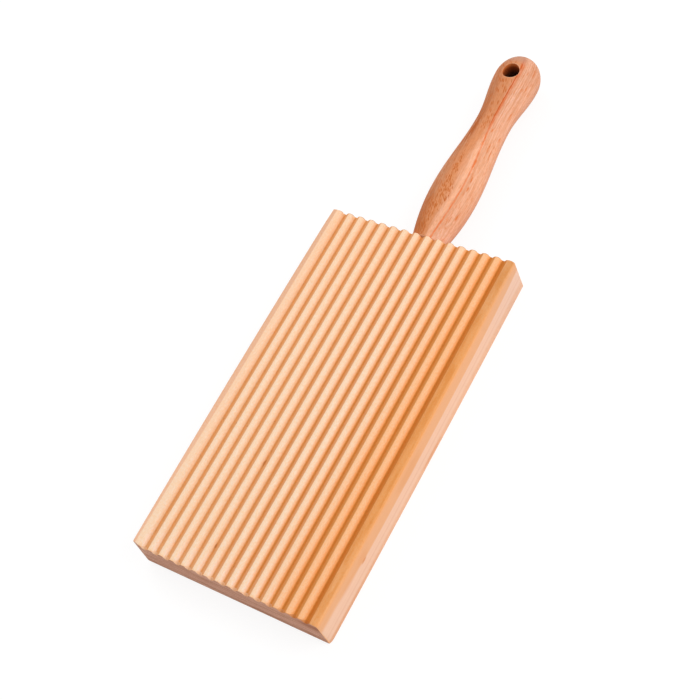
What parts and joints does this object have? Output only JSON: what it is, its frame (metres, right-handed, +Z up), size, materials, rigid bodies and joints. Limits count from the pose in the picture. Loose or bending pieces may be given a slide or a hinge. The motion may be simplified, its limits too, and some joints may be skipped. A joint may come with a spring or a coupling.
{
  "type": "gnocchi board",
  "caption": "Flat wooden board with lengthwise ridges for rolling gnocchi, with a turned hardwood handle pinned to one end and a hole to hang it by.",
  "frame": {"origin": "middle of the whole tool's footprint, on the surface that the board rests on", "axes": "+Y along the grooves from the board's free end towards the handle, +Z up out of the ridged face, +X to the right seen from the free end"},
  "size_m": [0.1, 0.3066, 0.0243],
  "materials": {
    "pale_beech": "planed and sanded, bare",
    "reddish_hardwood": "turned and sanded, satin",
    "pin_beech": "bare, hidden"
  },
  "bodies": {
    "root": {"ridged_board": "pale_beech", "handle": "reddish_hardwood", "dowel_pin": "pin_beech"}
  },
  "joints": []
}
